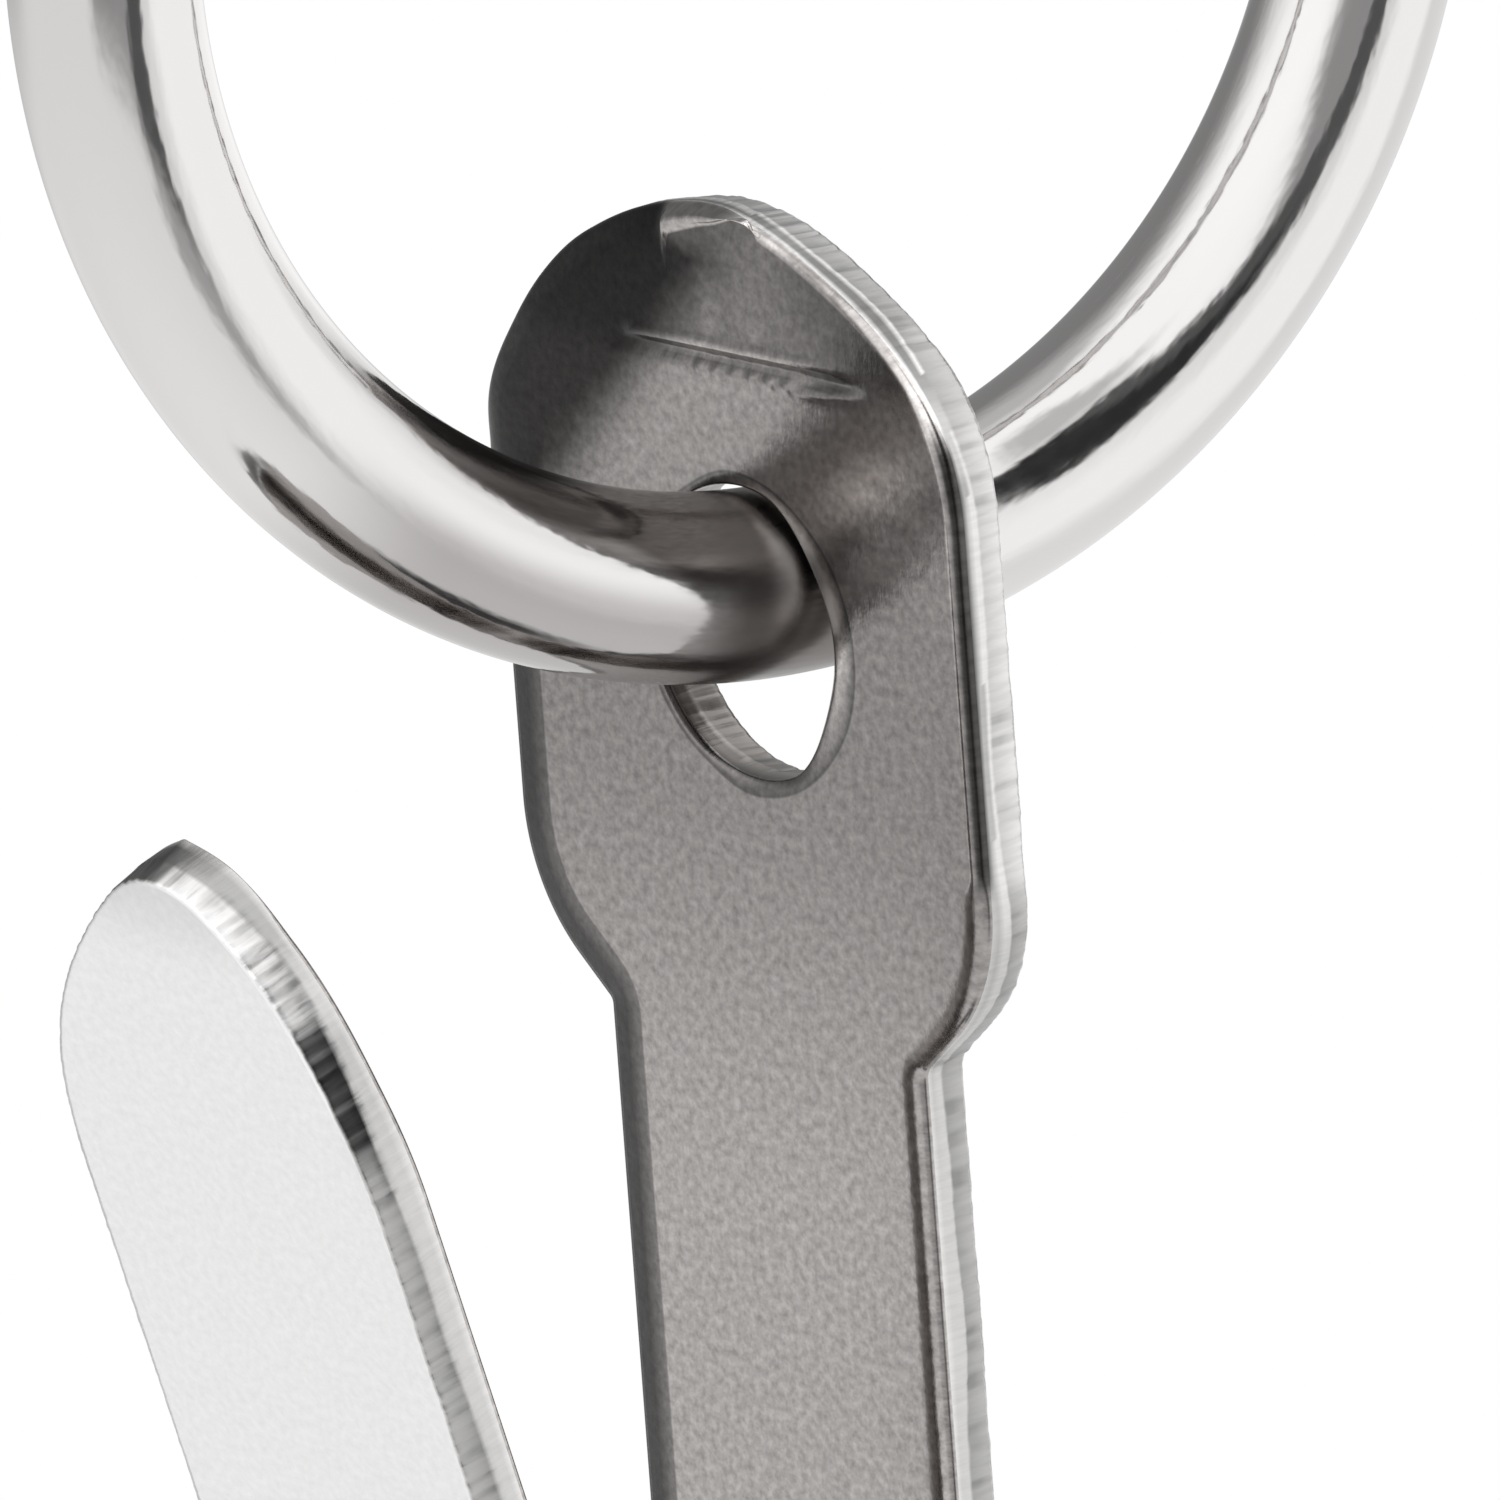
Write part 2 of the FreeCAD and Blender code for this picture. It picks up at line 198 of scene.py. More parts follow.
# A lighter band of painted shade beside the flank's, starting further round the ring.
off_flank = add(tree, SPAN, [around, *HALF_SHADE_EDGE, 1.0, 0.0], interpolation_type=SOFT)
from_half_shade = add(tree, SPAN, [turn, *HALF_SHADE_STARTS], interpolation_type=SOFT)
half_shade_reach = add(tree, MATH, [off_flank, from_half_shade], operation="MULTIPLY")
painted_half_shade = add(tree, MATH, [half_shade_reach, in_front], operation="MULTIPLY")
print("painted shade lies on %.0f mm of the wire" % ((BEHIND_HOOK[1] - HALF_SHADE_STARTS[0]) * RING_RADIUS))

# %% Wire colours and gloss
CLEAN = "#DEDCDB"
# Greys of the painted shade: the lighter band, the flank in front of the hole, and inside the hole.
PAINTED_HALF_SHADE_GREY = "#B4B1B0"
PAINTED_FLANK_SHADE_GREY = "#85817F"
PAINTED_HOLE_SHADE_GREY = "#7E7A78"
WIRE_GLOSS = (0.07, 0.11)
ROUGHER_IN_HOLE = 0.16


def metal(tree, base, roughness, relief):
    """Close a finish: one metal shader and the material's output."""
    shader = add(tree, "ShaderNodeBsdfPrincipled", {
        "Base Color": base, "Metallic": 1.0, "Roughness": roughness, "Normal": relief})
    add(tree, "ShaderNodeOutputMaterial", {"Surface": shader})


shade = colour(CLEAN)
# The three bands of painted shade are mixed over the wire's own colour.
for mask, tint in ((painted_half_shade, PAINTED_HALF_SHADE_GREY), (painted_flank_shade, PAINTED_FLANK_SHADE_GREY), (painted_shade_in_hole, PAINTED_HOLE_SHADE_GREY)):
    shade = add(tree, MIX, {0: mask, 6: shade, 7: colour(tint)}, data_type="RGBA")
gloss = add(tree, SPAN, [streaks, 0.3, 0.7, *WIRE_GLOSS], interpolation_type=SOFT)
rougher = add(tree, MATH, [painted_shade_in_hole, ROUGHER_IN_HOLE], operation="MULTIPLY")
roughness = add(tree, MATH, [gloss, rougher], operation="ADD")
metal(tree, shade, roughness, relief)
print("finish:", wire_metal.name)


# %% [markdown]
# ## The ring
# On the real object this is wire bent to a circle and closed. Blender's torus would
# do, but Geometry Nodes show the rule itself: a round section carried along a circle, with
# the two radii as inputs to play with. The result is then made a plain mesh, because
# the part's export takes meshes only.

# %% Trees and pieces
def new_tree(name, sizes):
    """An empty Geometry Nodes tree with named inputs."""
    tree = bpy.data.node_groups.new(name, "GeometryNodeTree")
    tree.interface.new_socket("Geometry", in_out="INPUT", socket_type="NodeSocketGeometry")
    for label, kind in sizes.items():
        tree.interface.new_socket(label, in_out="INPUT", socket_type=kind)
    tree.interface.new_socket("Geometry", in_out="OUTPUT", socket_type="NodeSocketGeometry")
    return tree, add(tree, "NodeGroupInput").outputs


def new_piece(name, data):
    """An object at the origin, in the scene."""
    piece = bpy.data.objects.new(name, data)
    bpy.context.scene.collection.objects.link(piece)
    return piece


def use_tree(piece, tree, values):
    """Put a tree on a piece and set its inputs by their identifiers."""
    modifier = piece.modifiers.new(tree.name, "NODES")
    modifier.node_group = tree
    for item in tree.interface.items_tree:
        if item.in_out == "INPUT" and item.name in values:
            modifier[item.identifier] = values[item.name]


def bake(piece):
    """Replace a piece's mesh by what its modifier makes, and drop the modifier."""
    graph = bpy.context.evaluated_depsgraph_get()
    made = bpy.data.meshes.new_from_object(piece.evaluated_get(graph))
    made.name = piece.name
    piece.modifiers.clear()
    piece.data = made


# %% Ring tree
tree, given = new_tree("wire_ring", {
    "Ring radius": "NodeSocketFloat", "Wire radius": "NodeSocketFloat",
    "Steps round the ring": "NodeSocketInt", "Steps round the wire": "NodeSocketInt"})
CIRCLE = "GeometryNodeCurvePrimitiveCircle"
path = add(tree, CIRCLE, {
    "Resolution": given["Steps round the ring"], "Radius": given["Ring radius"]})
section = add(tree, CIRCLE, {
    "Resolution": given["Steps round the wire"], "Radius": given["Wire radius"]})
upright = add(tree, "GeometryNodeTransform", {"Geometry": path, "Rotation": (0, math.pi / 2, 0)})
swept = add(tree, "GeometryNodeCurveToMesh", {"Curve": upright, "Profile Curve": section})
smooth = add(tree, "GeometryNodeSetShadeSmooth", {"Geometry": swept})
solid = add(tree, "GeometryNodeRealizeInstances", {"Geometry": smooth})
dressed = add(tree, "GeometryNodeSetMaterial", {"Geometry": solid, "Material": wire_metal})
add(tree, "NodeGroupOutput", [dressed])
print("ring tree:", len(tree.nodes), "nodes")

# %% Ring
RING_STEPS = 420
WIRE_STEPS = 80
ring = new_piece("wire_ring", bpy.data.meshes.new("wire_ring"))
use_tree(ring, tree, {"Ring radius": RING_RADIUS * MM, "Wire radius": WIRE / 2 * MM,
                      "Steps round the ring": RING_STEPS, "Steps round the wire": WIRE_STEPS})
bake(ring)
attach(ring, "ring")
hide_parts("ring")
print("ring:", len(ring.data.polygons), "faces, box", [round(v / MM, 2) for v in ring.dimensions])

# %% [markdown]
# ## Sizes of the strip
# The hook is cut from one strip of sheet. Its sizes, in millimetres, are those the solid was
# made with, so that the skin fits the frame. Four are finer than the solid's: the crown is
# 0.2 mm higher and a little pinched, the shoulder corners are tighter by 0.1 mm, and the
# leg's tip leans to one side.

# %% Sizes of the strip
SHEET = 1.0
STRIP = 7.4
HEAD_FLARE = 1.85
CROWN_START = 2.4
CROWN_HEIGHT = 4.4
CROWN_PINCH = 0.15
SHOULDER_START = 3.6
SHOULDER_RADIUS = 3.0
SHOULDER_SLOPE = 50.0
SHOULDER_CORNER = 0.3
SHANK = 18.9
BEND_RADIUS = 3.0
LEG_SPLAY = 16.0
LEG = 19.7
TIP_LENGTH = 5.7
TIP_RADIUS = 1.7
TIP_LEAN = 0.45

BEND_MIDDLE = BEND_RADIUS + SHEET / 2
BEND_TURN = math.radians(180 - LEG_SPLAY)
BEND_LENGTH = BEND_MIDDLE * BEND_TURN
CROWN_TOP = CROWN_START + CROWN_HEIGHT
HALF_STRIP = STRIP / 2
HALF_HEAD = HALF_STRIP + HEAD_FLARE
LEG_FOOT = -SHANK - BEND_LENGTH
LEG_END = LEG_FOOT - LEG
print("strip cut to %.1f mm before bending" % (CROWN_TOP + SHANK + BEND_LENGTH + LEG))


# %% [markdown]
# ## The flat blank
# A press cuts the strip flat before it is bent. It could be drawn bent at once, but flat is
# easier: x runs across the strip and s along it, with the hole at zero, the head up and the
# leg's tip at the bottom. The outline is a chain of arcs and straight runs, as on a drawing.

# %% Arcs
ARC_POINTS = 160


def arc(centre, radius, first, last):
    """Points along an arc, angles in degrees."""
    angles = np.radians(np.linspace(first, last, ARC_POINTS))
    return np.stack([centre[0] + radius * np.cos(angles), centre[1] + radius * np.sin(angles)], 1)


def rounded_end(half, start, top, top_radius):
    """Right half of a rounded end: a flank arc, then the end arc up to the centre line."""
    rise = top - start
    flank = (half ** 2 + (rise - top_radius) ** 2 - top_radius ** 2) / (2 * (half - top_radius))
    flank_centre = np.array([half - flank, start])
    end_centre = np.array([0.0, top - top_radius])
    toward = (end_centre - flank_centre) * np.sign(flank - top_radius)
    joint = math.degrees(math.atan2(toward[1], toward[0]))
    return np.concatenate([arc(flank_centre, flank, 0, joint), arc(end_centre, top_radius, joint, 90)])


crown_radius = HALF_HEAD * (HALF_HEAD + CROWN_HEIGHT) / (2 * CROWN_HEIGHT)
crown = rounded_end(HALF_HEAD, CROWN_START, CROWN_TOP, crown_radius)
tip = rounded_end(HALF_STRIP, LEG - TIP_LENGTH, LEG, TIP_RADIUS)[::-1]
tip[:, 1] = LEG_FOOT - tip[:, 1]
print("crown arc %.2f mm, tip arc %.2f mm in radius" % (crown_radius, TIP_RADIUS))

# %% Shoulders
slope = math.radians(SHOULDER_SLOPE)
shoulder_centre = (HALF_HEAD - SHOULDER_RADIUS, -SHOULDER_START)
shoulder = arc(shoulder_centre, SHOULDER_RADIUS, -SHOULDER_SLOPE, 0)
run = (shoulder[0, 0] - HALF_STRIP) / math.tan(slope)
setback = SHOULDER_CORNER * math.tan(slope / 2)
corner_centre = (HALF_STRIP + SHOULDER_CORNER, shoulder[0, 1] - run - setback)
corner = arc(corner_centre, SHOULDER_CORNER, 180, 180 - SHOULDER_SLOPE)
print("shoulders end %.2f mm below the hole's middle" % -corner_centre[1])

# %% Outline
RIM_STEP = 0.05


def even(points, step):
    """A closed line cut into equal steps, and how far along it each point is."""
    loop = np.concatenate([points, points[:1]])
    length = np.concatenate([[0], np.cumsum(np.linalg.norm(np.diff(loop, axis=0), axis=1))])
    count = int(round(length[-1] / step))
    at = np.linspace(0, length[-1], count, endpoint=False)
    return np.stack([np.interp(at, length, loop[:, 0]), np.interp(at, length, loop[:, 1])], 1), at


right = np.concatenate([tip, corner, shoulder, crown])
left = right[::-1] * [-1, 1]
rim, rim_at = even(np.concatenate([right, left[1:-1]]), RIM_STEP)
print("outline %d points" % len(rim))

# %% [markdown]
# ## Lean and pinch
# A worn press doesn't cut a perfect outline. The leg's tip leans, and the crown's flanks
# are pinched in. Both could be new arcs, but a soft push of the finished points is simpler:
# ease gives a smooth step, and outward says which way is away from the metal.

# %% Lean and pinch
LEAN_LENGTH = 4.0
PINCH_STARTS = {"right": 4.4, "left": 2.4}
PINCH_RISE = 1.9
PINCH_FULL_FROM = 3.0


def ease(value, low, high):
    """A soft step from 0 at low to 1 at high."""
    share = np.clip((value - low) / (high - low), 0, 1)
    return share * share * (3 - 2 * share)


def outward(loop):
    """Unit normals of a closed line, away from the metal."""
    along = np.roll(loop, -1, 0) - np.roll(loop, 1, 0)
    along /= np.linalg.norm(along, axis=1)[:, None]
    return np.stack([along[:, 1], -along[:, 0]], 1)


rim[:, 0] += TIP_LEAN * ease(-rim[:, 1], -LEG_END - LEAN_LENGTH, -LEG_END)
pinch_from = np.where(rim[:, 0] > 0, PINCH_STARTS["right"], PINCH_STARTS["left"])
pinch = CROWN_PINCH * ease(rim[:, 1] - pinch_from, 0.0, PINCH_RISE)
pinch *= ease(np.abs(rim[:, 0]), 0.0, PINCH_FULL_FROM)
rim = rim - outward(rim) * pinch[:, None]
print("pinched in by up to %.2f mm" % pinch.max())

# %% [markdown]
# ## The hole
# The hole is punched, and looks narrower on the right than a true circle. A Boolean would
# cut it, but would leave a ragged mesh round it. A ring of points whose radius depends on
# the angle gives the shape and a clean edge. It runs the other way round from the outline,
# so that outward still points away from the metal.

# %% Hole
HOLE = 4.7
HOLE_OFFSET = 0.3
HOLE_POINTS = 360
LIP_NARROWS = 0.42

angles = np.linspace(0, -2 * np.pi, HOLE_POINTS, endpoint=False)
hole_right = ease(np.cos(angles - 0.05), 0.3, 0.95)
hole_left = ease(-np.cos(angles), 0.0, 0.5)
hole_upper = ease(np.cos(angles - 0.8), 0.5, 0.95)
throat = HOLE / 2 - LIP_NARROWS * hole_right
hole = np.stack([HOLE_OFFSET + throat * np.cos(angles), throat * np.sin(angles)], 1)
hole_at = np.arange(len(hole)) * np.pi * HOLE / len(hole)
print("hole %d points, from %.2f to %.2f mm in radius" % (len(hole), throat.min(), throat.max()))

# %% [markdown]
# ## The cut edge
# A punch rolls the sheet over on the side it enters, burnishes part of the thickness,
# tears the rest and leaves a burr. A Bevel modifier would round the edge evenly, which no
# press does. So each of these is a row of points round the outline, set in from the line of
# the cut and down from the inner face. Each row also has a tone, a factor on its colour: the
# torn band is duller, and painted highlights and shade lie along the edge.

# %% Ripples
dice = np.random.default_rng(11)


def ripple(count, reach):
    """Seeded noise along a closed line, smoothed over a number of points."""
    rough = dice.standard_normal(count)
    window = np.hanning(2 * reach + 3)
    padded = np.concatenate([rough[-reach - 1:], rough, rough[:reach + 1]])
    soft = np.convolve(padded, window, "valid")
    return soft / soft.std()


# %% Rolled part of an edge
ROLLED_ROWS = 11
ROLL_CURVE = 1.15
LIP_WIDTH = 1 / 1.6


def along_roll(share, tones):
    """Tone at a place on the roll, from the tones at its start, middle and rim."""
    start, middle, end = tones
    if share < 0.5:
        return start + (middle - start) * share * 2
    return middle + (end - middle) * (share * 2 - 1)


def rolled_rows(width, depth, bevel, lip, tones):
    """Inset, depth and tone of each row of the roll; bevel 1 is flat, and lip raises its start."""
    rows = []
    for share in np.linspace(0, 1, ROLLED_ROWS):
        turn = share * np.pi / 2
        inset = (1 - bevel) * (1 - np.sin(turn)) + bevel * (1 - share)
        drop = (1 - bevel) * (1 - np.cos(turn)) + bevel * share ** ROLL_CURVE
        rise = lip * math.sin(math.pi * min(1.0, share / LIP_WIDTH))
        rows.append((width * inset, depth * drop - rise, along_roll(share, tones)))
    return rows


print("a roll is drawn in %d rows" % ROLLED_ROWS)

# %% Wall of an edge
BURNISH_SHARES = (0.35, 0.7, 1.0)
BURNISHED_TO = 0.5
BURNISH_WAVE = 0.05
BURNISH_LEAST = 0.1
BURNISH_LIMIT = 0.72
BURNISH_STRIPE = 0.002
TORN_SHARES = (0.15, 0.5, 0.85, 1.0)
TORN_TO = 0.95
TORN_INSET = 0.012
TORN_SLANT = 0.05
TORN_STRIPE = 0.008
TORN_DIM = 0.62
TORN_GAIN = 0.2
TICK_DARK = 0.22
TICK_MIDDLE = 0.4
BURR_INSET = 0.08
BURR_STRIPE = 0.006
BURR_HEIGHT = 0.01


def wall_rows(roll_depth, burnish_tone, torn_tone, burr_tone):
    """Inset, depth and tone of the burnished band, the torn band and the burr."""
    count = len(roll_depth)
    stripe = ripple(count, 1)
    ticks = ease(ripple(count, 2), 0.6, 1.6)
    wave = ripple(count, 40)
    least = roll_depth.max() + BURNISH_LEAST
    burnish = np.clip(BURNISHED_TO + BURNISH_WAVE * wave, least, BURNISH_LIMIT)
    rows = []
    for share in BURNISH_SHARES:
        down = roll_depth + (burnish - roll_depth) * share
        rows.append((BURNISH_STRIPE * stripe * share, down, burnish_tone))
    for share in TORN_SHARES:
        inset = TORN_INSET + TORN_SLANT * share + TORN_STRIPE * stripe
        down = burnish + (TORN_TO - burnish) * share
        ticked = TICK_DARK * ticks * (1 - abs(share - TICK_MIDDLE))
        rows.append((inset, down, torn_tone * (TORN_DIM + TORN_GAIN * share - ticked)))
    rows.append((BURR_INSET + BURR_STRIPE * stripe, SHEET + BURR_HEIGHT * np.abs(wave), burr_tone))
    return rows


print("burnished to about %.2f mm of the %.1f mm sheet" % (BURNISHED_TO, SHEET))

# %% Whole edge
INNER_MARGIN = 0.04
OUTER_MARGIN = 0.16


def edge_rows(loop, rolled, wall, peak):
    """Points (x, s, d) and tones of each row, from the inner face, where d is up, to the outer.

    peak draws the inner side of the edge out beyond the loop.
    """
    count = len(loop)
    normal = outward(loop)
    first = (rolled[0][0] + INNER_MARGIN, np.zeros(count), 1.0)
    last = (np.full(count, OUTER_MARGIN), np.full(count, SHEET), 1.0)
    made = []
    for inset, depth, shade in [first, *rolled, *wall, last]:
        drawn = inset - peak * (1 - np.clip(depth, 0, SHEET) / SHEET)
        flat = loop - normal * drawn[:, None]
        made.append((np.column_stack([flat, SHEET / 2 - depth]), np.broadcast_to(shade, count)))
    return made


# %% [markdown]
# ## Places on the rim
# The edge isn't the same all round, as if the press was set a little to one side: the roll
# is wide on the left, narrow at the crown's right and torn at the very top. Each place
# is a mask along the outline, 1 where it holds and 0 elsewhere, with soft ends. Vertex
# groups could be painted by hand. A mask made from x, s and the way the edge faces can be
# read and changed.

# %% Places on the rim
normals = outward(rim)
facing = normals[:, 0]
x, s = rim.T
up_leg = LEG_FOOT - s

# The leg, and the edges above it that face left.
on_leg = ease(-s, SHANK, SHANK + BEND_LENGTH)
left_side = ease(-facing, 0.15, 0.6) * (1 - on_leg)
# The head: its upper left, the torn lip on top, its straight right flank, its crown's right.
head_left = ease(s, 0.0, 3.0) * ease(-x, -0.8, 2.5)
torn = ease(s, 6.0, 6.3) * ease(1.3 - np.abs(x - 0.1), 0.0, 0.3)
flank = ease(s, -3.6, -3.1) * ease(-s, -4.6, -3.5) * ease(facing, 0.5, 0.8)
crown_right = ease(s, 3.5, 4.7) * ease(facing, 0.05, 0.3)
# The left edge: below the head's upper left, beside it, and where it bulges out most.
lower_left = left_side * (1 - head_left) * (1 - torn)
upper_rim = left_side * head_left
widest = left_side * ease(s, 0.3, 2.0) * ease(-s, -4.6, -2.6)
# The leg's left side, and the last millimetre of its tip.
tip_left = on_leg * ease(-facing, -0.3, 0.1)
tip_end = ease(up_leg, 18.4, 19.3)

# A darker stretch of the torn band on the right of the leg, with a broken edge.
darker_stretch = ease(up_leg, 14.8, 15.6) * ease(-up_leg, -17.6, -17.1) * ease(facing, 0.3, 0.6)
darker_stretch *= 0.55 + 0.45 * ease(ripple(len(rim), 2), -1.6, 0.2)
print("torn lip on %.1f mm of the rim" % (np.count_nonzero(torn > 0.5) * RIM_STEP))

# %% Shape of the rim's edge
ROLL_WIDTH = 0.42
ROLL_DEPTH = 0.24
LIP_HEIGHT = 0.12
TIP_DRAWN_OUT = 0.14
TIP_POINT = TIP_LEAN - 0.12
TIP_POINT_WIDTH = 0.35
LEFT_PUSH = 0.12
WIDEST_PUSH = 0.2

rim = rim + normals * (LEFT_PUSH * left_side + WIDEST_PUSH * widest)[:, None]
# A width below zero is an overhang: the torn lip leans out at its right end.
roll_width = ROLL_WIDTH + 0.24 * left_side + 0.2 * lower_left + 0.9 * head_left * (1 - torn)
roll_width -= 0.24 * on_leg + 0.25 * flank + 0.28 * torn * ease(x, -1.0, 1.0)
roll_width -= 0.13 * tip_end + 0.3 * crown_right
roll_depth = ROLL_DEPTH - 0.06 * left_side - 0.1 * on_leg + 0.06 * head_left
roll_depth -= 0.11 * tip_end + 0.1 * crown_right
peak = TIP_DRAWN_OUT * np.exp(-np.abs(x - TIP_POINT) / TIP_POINT_WIDTH) * ease(up_leg, 18.0, 19.0)
print("roll %.2f to %.2f mm wide" % (roll_width.min(), roll_width.max()))

# %% Tones of the rim's edge
# Painted highlights and shade on the rolled edge: brighter along the crown's right, the torn lip and the
# upper left rim, darker along the lower left, and lighter then darker across the right flank.
painted_light_and_shade_on_roll = (
    1 - 0.5 * lower_left + 0.5 * flank + 1.2 * crown_right + 2.4 * torn,
    1 - 0.88 * lower_left - 0.7 * flank + 3.2 * crown_right + 1.8 * torn,
    1 - 0.88 * lower_left + 2.6 * upper_rim - 0.75 * flank + 3.6 * crown_right + 1.8 * torn)
# Painted highlights on the head's edge, the crown's right, the right flank and toward the leg's tip, a
# painted highlight line along the burr near the tip, and painted shade at the very tip and on the tip's
# left side.
painted_highlight_on_head_edge = 0.2 * ease(s, -4.5, -3.0)
burnish_tone = 0.8 + painted_highlight_on_head_edge + 0.25 * crown_right
burnish_tone *= 1 + 0.25 * ease(up_leg, 16.8, 17.6) - 0.42 * ease(up_leg, 17.8, 18.8)
burnish_tone *= 1 - 0.7 * tip_left
torn_tone = 0.74 + painted_highlight_on_head_edge + 0.25 * flank + ease(up_leg, 16.9, 17.5)
torn_tone *= (1 - 0.85 * darker_stretch) * (1 - 0.8 * tip_left)
burr_tone = 1 + 0.5 * ease(up_leg, 15.8, 16.8) * ease(facing, -0.3, 0.2)

rolled = rolled_rows(roll_width, roll_depth, left_side * (1 - head_left), LIP_HEIGHT * torn, painted_light_and_shade_on_roll)
wall = wall_rows(roll_depth, burnish_tone, torn_tone, burr_tone)
rim_rows = edge_rows(rim, rolled, wall, peak)
print("edge rows: %d, of which %d are the rolled side" % (len(rim_rows), ROLLED_ROWS))

# %% Edge of the hole
HOLE_ROLL_WIDTH = 0.25
HOLE_ROLL_DEPTH = 0.14
BORE_TONE = 1.55

hole_roll_width = HOLE_ROLL_WIDTH + 0.45 * hole_right - 0.13 * hole_left
hole_roll_depth = HOLE_ROLL_DEPTH + 0.06 * hole_right
# Painted shade at the start of the hole's roll all round, and painted highlights along its right and upper
# rim.
painted_light_and_shade_on_hole_rim = (0.45, 0.8 + 1.7 * hole_right + 2.6 * hole_upper, 1.0 + 2.2 * hole_upper)
hole_rolled = rolled_rows(hole_roll_width, hole_roll_depth, 0.3 * hole_right, 0.0, painted_light_and_shade_on_hole_rim)
hole_wall = wall_rows(hole_roll_depth, BORE_TONE, BORE_TONE, 1.0)
hole_rows = edge_rows(hole, hole_rolled, hole_wall, 0.0)
print("hole rows: %d, roll up to %.2f mm wide" % (len(hole_rows), hole_roll_width.max()))

# %% [markdown]
# ## Skin of the edge
# The rows become bands of four-sided faces. Each face keeps its kind, which later picks
# its finish, and its place on a map of the blank, so that grain and stripes can follow the
# metal after it is bent. Blender's Bridge Edge Loops would make the same bands by hand.

# %% Bands
INNER, OUTER, EDGE, BORE = range(4)
FLAT_SPAN = 100.0
WALL_SPAN = 200.0
verts = []
tones = []
faces = []
face_kinds = []
face_uvs = []


def flat_uv(vert):
    """Place on the map of a point on a face of the strip; the map is FLAT_SPAN mm wide."""
    return (vert[0] / FLAT_SPAN + 0.5, vert[1] / FLAT_SPAN + 0.6)


def wall_uv(along, vert):
    """Place on the map of a point on a cut wall; the map is WALL_SPAN mm wide."""
    return (along / WALL_SPAN, vert[2] / WALL_SPAN + 0.5)


def band(rows, at, wall):
    """Faces between the rows of one loop; returns the first index of each row."""
    starts = []
    for made, shade in rows:
        starts.append(len(verts))
        verts.extend(map(tuple, made))
        tones.extend(shade)
    count = len(rows[0][0])
    ends = np.append(at, at[-1] + at[1])
    for k in range(len(rows) - 1):
        kind = INNER if k < ROLLED_ROWS else (OUTER if k == len(rows) - 2 else wall)
        for i in range(count):
            j = (i + 1) % count
            quad = (starts[k] + i, starts[k + 1] + i, starts[k + 1] + j, starts[k] + j)
            faces.append(quad)
            face_kinds.append(kind)
            if kind == wall:
                stations = (ends[i], ends[i], ends[i + 1], ends[i + 1])
                face_uvs.append([wall_uv(along, verts[v]) for along, v in zip(stations, quad)])
            else:
                face_uvs.append([flat_uv(verts[v]) for v in quad])
    return starts


rim_starts = band(rim_rows, rim_at, EDGE)
hole_starts = band(hole_rows, hole_at, BORE)
print("edge bands: %d faces" % len(faces))

# %% [markdown]
# ## Marks of the press
# A tool has left a groove across the head, a row of small beads under it and a short
# second line. A bump map could fake them, but they catch the light from every side, so
# they are real height: a sum of narrow bell curves.

# %% Press marks
GROOVE_DEPTH = 0.14
GROOVE_BANK = 0.055
BEAD_HEIGHT = 0.05
BEAD_TURNS = 15
SHORT_DEPTH = 0.06
SHORT_BANK = 0.03


def bell(value, width):
    """1 at zero, falling away over a width."""
    return np.exp(-(value / width) ** 2)


def press_marks(points):
    """Height of the marks at points of the head."""
    x, s = points.T
    groove = s - (4.38 + 0.01 * x)
    beads = s - (4.2 - 0.02 * x)
    second = s - (4.25 + 0.09 * (x - 1.9))
    strong = ease(x, -3.0, -1.0) * ease(-x, -3.8, -2.0)
    beaded = ease(x, -0.8, -0.4) * ease(-x, -2.1, -1.8) * np.clip(np.sin(BEAD_TURNS * x), 0, 1)
    short = ease(x, 1.7, 2.3) * ease(-x, -3.8, -2.6)
    height = strong * (GROOVE_BANK * bell(groove - 0.2, 0.09) - GROOVE_DEPTH * bell(groove, 0.12))
    height += BEAD_HEIGHT * beaded * bell(beads, 0.08)
    height += short * (SHORT_BANK * bell(second + 0.14, 0.08) - SHORT_DEPTH * bell(second, 0.08))
    return height


print("beads %.2f mm apart" % (2 * math.pi / BEAD_TURNS))

# %% [markdown]
# ## Filling the faces
# The two faces of the strip lie between the outline and the hole. One many-sided face
# would fold badly in the bend. A triangulation that keeps both rims as edges and has points
# of its own inside bends smoothly, with rows close together in the bend and points close
# together at the press marks.

# %% Points inside a face
FILL_STEP = 0.4
BEND_ROWS = 64
MARKS_LOW = 3.7
MARKS_HIGH = 4.9
MARKS_STEP_S = 0.06
MARKS_STEP_X = 0.1
RIM_CLEAR = 0.2


def inside(points, loop):
    """Which points lie inside a closed line."""
    ahead = np.roll(loop, -1, 0)
    crosses = (loop[None, :, 1] > points[:, None, 1]) != (ahead[None, :, 1] > points[:, None, 1])
    run, rise = (ahead - loop).T
    slope = run / np.where(rise == 0, 1e-12, rise)
    cut_x = loop[None, :, 0] + (points[:, None, 1] - loop[None, :, 1]) * slope[None, :]
    return (crosses & (points[:, None, 0] < cut_x)).sum(1) % 2 == 1


def clear_of(points, loop):
    """Which points keep their distance from a line."""
    gaps = np.array([np.min(np.sum((loop - p) ** 2, 1)) for p in points])
    return gaps > RIM_CLEAR ** 2


